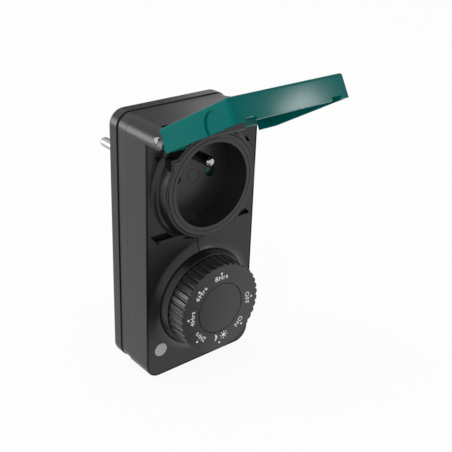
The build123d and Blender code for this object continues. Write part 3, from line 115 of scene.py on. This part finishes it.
def shade(colour, factor):
    """A colour made darker or lighter, with its alpha."""
    return tuple(channel * factor for channel in colour) + (1.0,)


FLOW_SCALE = 55.0
FLOW_SHARE = 0.7
SPARK_SHARE = 0.3
GLOSS_SPREAD = 0.06


def moulded(name, colour, roughness, grain, depth, mottle=0.12, **constants):
    """Moulded plastic, with a texture of the given grain and depth in metres."""
    material, shader, base = new_finish(name, **constants)
    place = base.node("TexCoord", output="Object")
    flow = base.node("TexNoise", inputs={"Vector": place, "Scale": FLOW_SCALE, "Detail": 3.0})
    spark = base.node(
        "TexNoise", inputs={"Vector": place, "Scale": 1 / grain, "Detail": 3.0, "Roughness": 0.6}
    )
    patches = flow * FLOW_SHARE + spark * SPARK_SHARE
    tint = base.mixed(patches, shade(colour, 1 - mottle), shade(colour, 1 + mottle))
    feed(shader, "Base Color", tint)
    gloss = roughness - GLOSS_SPREAD + flow * GLOSS_SPREAD + spark * GLOSS_SPREAD
    feed(shader, "Roughness", gloss)
    bump = base.node("Bump", inputs={"Strength": 1.0, "Distance": depth, "Height": spark})
    feed(shader, "Normal", bump)
    return material


def finish_node(node, material):
    """Give a piece of the frame its material."""
    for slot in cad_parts[node].material_slots:
        slot.material = material


def deselect():
    """Leave no object selected."""
    for other in bpy.context.selected_objects:
        other.select_set(False)


MERGE_GAP = 0.002 * MM
SHARP_ANGLE = radians(38)
SMOOTH_ANGLE = radians(50)


def eased(node, body, edge, material):
    """Put a copy of a piece in its place, with sharp edges rounded as a mould leaves them."""
    piece = bpy.data.objects.new(node + "_eased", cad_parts[node].data.copy())
    bpy.context.collection.objects.link(piece)
    deselect()
    piece.select_set(True)
    bpy.context.view_layer.objects.active = piece
    bpy.ops.mesh.customdata_custom_splitnormals_clear()
    bpy.ops.object.mode_set(mode="EDIT")
    bpy.ops.mesh.select_all(action="SELECT")
    bpy.ops.mesh.remove_doubles(threshold=MERGE_GAP)
    bpy.ops.object.mode_set(mode="OBJECT")
    bpy.ops.object.shade_smooth_by_angle(angle=SHARP_ANGLE)
    rounding = piece.modifiers.new("rounding", "BEVEL")
    rounding.width = edge
    rounding.segments = 2
    rounding.limit_method = "ANGLE"
    rounding.angle_limit = SHARP_ANGLE
    rounding.use_clamp_overlap = False
    bpy.ops.object.modifier_apply(modifier="rounding")
    # A point that a narrow face threw off the moulding goes back on to its surface.
    moulding = BVHTree.FromObject(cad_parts[node], bpy.context.evaluated_depsgraph_get())
    for corner in piece.data.vertices:
        surface, _, _, gap = moulding.find_nearest(corner.co)
        if gap > edge / 2:
            corner.co = surface
    bpy.ops.object.shade_smooth_by_angle(angle=SMOOTH_ANGLE)
    flats = piece.modifiers.new("flats", "WEIGHTED_NORMAL")
    flats.keep_sharp = True
    bpy.ops.object.modifier_apply(modifier="flats")
    piece.data.materials.clear()
    piece.data.materials.append(material)
    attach(piece, body)
    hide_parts(node)


CASE_GRAIN = 0.35 * MM
CASE_TEXTURE = 0.012 * MM
CASE_EDGE = 0.12 * MM

case_black = moulded(
    "case_black", (0.0072, 0.0073, 0.0076), 0.3, CASE_GRAIN, CASE_TEXTURE, Specular_IOR_Level=0.44
)
frame_black = moulded(
    "frame_black", (0.0064, 0.0065, 0.0068), 0.34, CASE_GRAIN, CASE_TEXTURE, Specular_IOR_Level=0.48
)
finish_node("front_shell", case_black)
eased("rear_shell", "case", CASE_EDGE, case_black)
eased("middle_frame", "case", CASE_EDGE, frame_black)

rubber_black = moulded("rubber_black", (0.012, 0.012, 0.012), 0.7, 0.0002, 0.00001)
for node in ("front_case_seal", "rear_case_seal", "lid_seal", "shaft_seal"):
    finish_node(node, rubber_black)


TARNISH_SCALE = 130.0


def metal(name, colour, roughness, grain, depth, stretch):
    """Metal with fine marks, finer along an axis whose stretch is more than 1."""
    material, shader, base = new_finish(name, Metallic=1.0)
    place = base.node("TexCoord", output="Object")
    drawn = base.node("Mapping", inputs={"Vector": place, "Scale": stretch})
    marks = base.node("TexNoise", inputs={"Vector": drawn, "Scale": 1 / grain, "Detail": 4.0})
    tarnish = base.node("TexNoise", inputs={"Vector": place, "Scale": TARNISH_SCALE, "Detail": 4.0})
    feed(shader, "Base Color", base.mixed(tarnish, shade(colour, 0.86), shade(colour, 1.06)))
    feed(shader, "Roughness", roughness - 0.1 + marks * 0.12 + tarnish * 0.08)
    bump = base.node("Bump", inputs={"Strength": 0.6, "Distance": depth, "Height": marks})
    feed(shader, "Normal", bump)
    return material


zinc = metal("zinc", (0.55, 0.56, 0.57), 0.36, 0.0003, 0.00001, (1.0, 1.0, 1.0))
for node in (
    "case_screws",
    "block_screws",
    "board_screws",
    "shutter_spring",
    "earth_nut",
    "detent_spring",
):
    finish_node(node, zinc)

# ---------------------------------------------------------------- socket
# The collar, well and floor are one moulding behind the front shell. The
# earth pin is turned from brass, nickel plated, and held by a nut at its back.
socket_black = moulded(
    "socket_black", (0.0125, 0.0127, 0.013), 0.32, 0.0003, 0.00001, Specular_IOR_Level=0.52
)
finish_node("socket_insert", socket_black)
finish_node("plug_cap", socket_black)

nickel = metal("nickel", (0.5, 0.495, 0.48), 0.2, 0.0002, 0.000006, (1.0, 6.0, 1.0))
for node in (
    "earth_pin",
    "neutral_plug_pin",
    "live_plug_pin",
    "plug_earth_tube",
    "plug_earth_clips",
    "hinge_pin",
):
    finish_node(node, nickel)

brass = metal("brass", (0.72, 0.5, 0.2), 0.3, 0.0004, 0.00001, (1.0, 1.0, 8.0))
for node in (
    "live_contact",
    "neutral_contact",
    "switched_live_strip",
    "neutral_strip",
    "live_feed_strip",
    "earth_strap",
):
    finish_node(node, brass)

shutter_green = moulded("shutter_green", (0.01, 0.26, 0.12), 0.4, 0.0003, 0.00001)
finish_node("shutter", shutter_green)
natural_plastic = moulded("natural_plastic", (0.6, 0.58, 0.52), 0.5, 0.0003, 0.00001)
for node in ("contact_block", "switch_shaft", "switch_rotor", "switch_body"):
    finish_node(node, natural_plastic)

# ---------------------------------------------------------------- electronics
# The circuit board is glass fibre under a green solder mask, screwed to the
# case. Its parts have moulded or coated bodies and are soldered to it.
board_green = moulded("board_green", (0.02, 0.16, 0.06), 0.3, 0.002, 0.00004)
finish_node("circuit_board", board_green)
for node, body_colour in (
    ("relay", (0.02, 0.06, 0.26)),
    ("film_capacitor", (0.5, 0.4, 0.05)),
    ("bridge_rectifier", (0.02, 0.02, 0.02)),
    ("timer_chip", (0.02, 0.02, 0.02)),
    ("smoothing_capacitor", (0.03, 0.04, 0.09)),
    ("surge_varistor", (0.02, 0.1, 0.4)),
    ("fuse", (0.2, 0.08, 0.04)),
):
    finish_node(node, moulded(node + "_finish", body_colour, 0.35, 0.0004, 0.00001))

# ---------------------------------------------------------------- lid
# The splash lid is a hood moulded in dark teal plastic, with a higher gloss
# than the case. It turns on a nickel-plated pin held in the case's ears.
LID_GRAIN = 0.6 * MM
LID_TEXTURE = 0.0015 * MM
LID_EDGE = 0.12 * MM

lid_teal = moulded(
    "lid_teal",
    (0.0, 0.118, 0.108),
    0.115,
    LID_GRAIN,
    LID_TEXTURE,
    mottle=0.05,
    Specular_IOR_Level=0.05,
)
eased("lid", "lid", LID_EDGE, lid_teal)

# ---------------------------------------------------------------- knob
# A ribbed cap with a separate disc pressed into its face. The marks are
# printed in white around the disc and turn with the knob.
BEZEL_EDGE = 0.15 * MM
KNOB_EDGE = 0.12 * MM

knob_grey = moulded(
    "knob_grey", (0.019, 0.0193, 0.02), 0.36, 0.0003, 0.00001, Specular_IOR_Level=0.6
)
eased("knob_bezel", "case", BEZEL_EDGE, case_black)
eased("knob", "knob", KNOB_EDGE, knob_grey)
eased("knob_cap", "knob", KNOB_EDGE, knob_grey)

KNOB_HEIGHT = 35.0 * MM
DIAL_Y = FRONT_Y - 14.7 * MM
PRINT = 0.03 * MM
TEXT_RADIUS = 15.5 * MM
TEXT_SIZE = 3.35 * MM
LETTER_SPACING = 1.12
LETTER_SWELL = 0.03 * MM
DOT_RADIUS = 0.55 * MM

print_white, shader, base = new_finish("print_white", Specular_IOR_Level=0.3)
place = base.node("TexCoord", output="Object")
wear = base.node("TexNoise", inputs={"Vector": place, "Scale": 900.0, "Detail": 3.0})
worn_white = shade((0.74, 0.75, 0.76), 1)
fresh_white = shade((0.88, 0.88, 0.88), 1)
feed(shader, "Base Color", base.mixed(wear, worn_white, fresh_white))
feed(shader, "Roughness", 0.4 + wear * 0.2)


def on_dial(angle, radius):
    """Place on the knob's face at an angle from +X, upright marks turned outwards."""
    return (
        Matrix.Translation((radius * cos(angle), DIAL_Y, KNOB_HEIGHT + radius * sin(angle)))
        @ Matrix.Rotation(-(angle - pi / 2), 4, "Y")
        @ Matrix.Rotation(pi / 2, 4, "X")
    )


marks = []
for angle, words in (
    (0, "OFF"),
    (90, "8Hrs"),
    (135, "6Hrs"),
    (180, "4Hrs"),
    (225, "2Hrs"),
    (315, "ON"),
):
    deselect()
    bpy.ops.object.text_add(location=(0, 0, 0))
    mark = bpy.context.object
    mark.data.body = words
    mark.data.size = TEXT_SIZE
    mark.data.space_character = LETTER_SPACING
    mark.data.align_x = "CENTER"
    mark.data.align_y = "CENTER"
    mark.data.offset = LETTER_SWELL
    mark.data.extrude = PRINT
    mark.data.resolution_u = 4
    bpy.ops.object.convert(target="MESH")
    mark.data.transform(on_dial(radians(angle), TEXT_RADIUS))
    marks.append(mark)
for angle, radius in (
    (0, 18.2),
    (90, 17.6),
    (135, 17.4),
    (180, 18.0),
    (225, 18.2),
    (270, 18.2),
    (315, 18.2),
):
    deselect()
    bpy.ops.mesh.primitive_cylinder_add(radius=DOT_RADIUS, depth=2 * PRINT, vertices=24)
    mark = bpy.context.object
    mark.data.transform(on_dial(radians(angle), radius * MM))
    marks.append(mark)

# The light-sensing programme has a sun, a disc with eight short rays, and a
# crescent moon beside it, between the dot and the disc.
SIGN_RADIUS = 14.9 * MM
SUN_X = -2.4 * MM
SUN_RADIUS = 0.95 * MM
SUN_RAYS = 8
RAY_REACH = 1.75 * MM
RAY_LENGTH = 0.7 * MM
RAY_WIDTH = 0.38 * MM
MOON_X = 3.0 * MM
MOON_RADIUS = 1.7 * MM
MOON_HOLLOW = 0.35

sign = on_dial(radians(270), SIGN_RADIUS)
for step in range(SUN_RAYS + 1):
    deselect()
    if step < SUN_RAYS:
        bpy.ops.mesh.primitive_cube_add(size=1.0)
        spoke = Matrix.Rotation(step * 2 * pi / SUN_RAYS, 4, "Z")
        reach = Matrix.Translation((RAY_REACH, 0, 0))
        place = spoke @ reach @ Matrix.Diagonal((RAY_LENGTH, RAY_WIDTH, 2 * PRINT, 1.0))
    else:
        bpy.ops.mesh.primitive_cylinder_add(radius=SUN_RADIUS, depth=2 * PRINT, vertices=32)
        place = Matrix.Identity(4)
    mark = bpy.context.object
    mark.data.transform(sign @ Matrix.Translation((SUN_X, 0, 0)) @ place)
    marks.append(mark)
deselect()
bpy.ops.mesh.primitive_circle_add(radius=MOON_RADIUS, vertices=48)
moon = bpy.context.object
for corner in moon.data.vertices:
    if corner.co.x > 0:
        corner.co.x = -MOON_HOLLOW * corner.co.x
bpy.ops.object.mode_set(mode="EDIT")
bpy.ops.mesh.select_all(action="SELECT")
bpy.ops.mesh.edge_face_add()
bpy.ops.mesh.extrude_region_move(TRANSFORM_OT_translate={"value": (0, 0, 2 * PRINT)})
bpy.ops.mesh.select_all(action="SELECT")
bpy.ops.mesh.normals_make_consistent(inside=False)
bpy.ops.object.mode_set(mode="OBJECT")
moon.data.transform(sign @ Matrix.Translation((MOON_X, 0, -PRINT)))
marks.append(moon)
deselect()
for mark in marks:
    mark.select_set(True)
bpy.context.view_layer.objects.active = marks[0]
bpy.ops.object.join()
dial_marks = marks[0]
dial_marks.name = "dial_marks"
dial_marks.data.materials.clear()
dial_marks.data.materials.append(print_white)
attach(dial_marks, "knob")

# ---------------------------------------------------------------- light sensor
# The window is a round grey moulding set in the front shell. The pale cell
# behind it stands on its two leads.
window_grey = moulded("window_grey", (0.42, 0.435, 0.42), 0.4, 0.0003, 0.00001)
finish_node("sensor_window", window_grey)
finish_node("light_sensor", natural_plastic)

# ---------------------------------------------------------------- studio
# A pale floor, a soft lamp from the left, a small one from the right whose
# reflection is the lid's soft highlight, one from behind, and a white world.
FLOOR_SIZE = 6.0
SEEN_WHITE = 0.9
SEEN_GLOW = 1.02

bpy.ops.mesh.primitive_plane_add(size=FLOOR_SIZE, location=(0, 0, 0))
floor = bpy.context.object
floor.name = "studio_floor"
paper, shader, base = new_finish("studio_paper", Roughness=0.9, Specular_IOR_Level=0.1)
shader.inputs["Base Color"].default_value = (0.86, 0.86, 0.86, 1.0)
camera_ray = base.node("LightPath", output="Is Camera Ray")
mirror_ray = base.node("LightPath", output="Is Glossy Ray")
glass_ray = base.node("LightPath", output="Is Transmission Ray")
glow = base.node("Emission", inputs={"Color": (1.0, 1.0, 1.0, 1.0), "Strength": SEEN_GLOW})
seen = (camera_ray + mirror_ray + glass_ray) * SEEN_WHITE
joined = base.node("MixShader", inputs={0: seen, 2: glow})
paper.node_tree.links.new(shader.outputs[0], joined.socket.node.inputs[1])
paper.node_tree.links.new(joined.socket, paper.node_tree.nodes["Material Output"].inputs[0])
floor.data.materials.append(paper)

world = bpy.data.worlds.new("studio_world")
world.use_nodes = True
bpy.context.scene.world = world
sky = Finish(world.node_tree)
camera_ray = sky.node("LightPath", output="Is Camera Ray")
mirror_ray = sky.node("LightPath", output="Is Glossy Ray")
glass_ray = sky.node("LightPath", output="Is Transmission Ray")
plain = world.node_tree.nodes["Background"]
plain.inputs["Color"].default_value = (1.0, 1.0, 1.0, 1.0)
WORLD_LIGHT = 0.65
SEEN_EXTRA = 0.35
white = (camera_ray + mirror_ray + glass_ray) * SEEN_EXTRA + WORLD_LIGHT
world.node_tree.links.new(white.socket, plain.inputs["Strength"])

# Dark cards, which only reflections show, so that the case reads as black
# plastic: one lies to the front left for its front, one stands behind for its
# top.
CARD_HEIGHT = 0.0006
FLAG_LOW = 0.16
FLAG_HIGH = 0.52
felt, shader, base = new_finish("studio_felt", Roughness=1.0, Specular_IOR_Level=0.0)
shader.inputs["Base Color"].default_value = (0.18, 0.18, 0.18, 1.0)
for name, corners in (
    (
        "studio_card",
        (
            (-0.25, -0.040, CARD_HEIGHT),
            (0.0, -0.044, CARD_HEIGHT),
            (-0.35, -0.30, CARD_HEIGHT),
            (0.078, -0.120, CARD_HEIGHT),
        ),
    ),
    (
        "studio_flag",
        (
            (-0.047, 0.919, FLAG_LOW),
            (0.408, 0.528, FLAG_LOW),
            (-0.047, 0.919, FLAG_HIGH),
            (0.408, 0.528, FLAG_HIGH),
        ),
    ),
):
    bpy.ops.mesh.primitive_plane_add(size=1.0)
    card = bpy.context.object
    card.name = name
    for corner, place in zip(card.data.vertices, corners):
        corner.co = place
    card.data.materials.append(felt)
    card.visible_camera = False
    card.visible_diffuse = False
    card.visible_shadow = False
    card.visible_transmission = False

TARGET = Vector((13.89, -13.8, 66.04)) * MM


def lamp(name, direction, distance, width, height, power):
    """A soft lamp that faces the target from a direction; sizes in metres, power in watts."""
    data = bpy.data.lights.new(name, "AREA")
    data.shape = "RECTANGLE"
    data.size = width
    data.size_y = height
    data.energy = power
    made = bpy.data.objects.new(name, data)
    bpy.context.collection.objects.link(made)
    towards = Vector(direction).normalized()
    made.location = TARGET + towards * distance
    made.rotation_euler = towards.to_track_quat("Z", "Y").to_euler()
    return made


lamp("lamp_right", (0.664, -0.628, 0.492), 1.26, 0.06, 0.05, 0.8)
lamp("lamp_left", (-0.785, -0.49, 0.264), 1.2, 0.25, 0.5, 3.5).visible_glossy = False
lamp("lamp_back", (-0.72, 0.68, 0.12), 1.2, 0.6, 0.6, 6.0)

AZIMUTH = radians(-40.61)
ELEVATION = radians(26.11)
ROLL = radians(2.3)
DISTANCE = 380.05 * MM
view = bpy.data.cameras.new("view")
view.sensor_width = 36.0
view.lens = 66.95
view.clip_start = 0.01
camera = bpy.data.objects.new("view", view)
bpy.context.collection.objects.link(camera)
back = Vector(
    (sin(AZIMUTH) * cos(ELEVATION), -cos(AZIMUTH) * cos(ELEVATION), sin(ELEVATION))
)
turn = Euler((pi / 2 - ELEVATION, 0, AZIMUTH)).to_matrix() @ Matrix.Rotation(ROLL, 3, "Z")
camera.location = TARGET + back * DISTANCE
camera.rotation_euler = turn.to_euler()
bpy.context.scene.camera = camera
bpy.context.scene.view_settings.view_transform = "Standard"
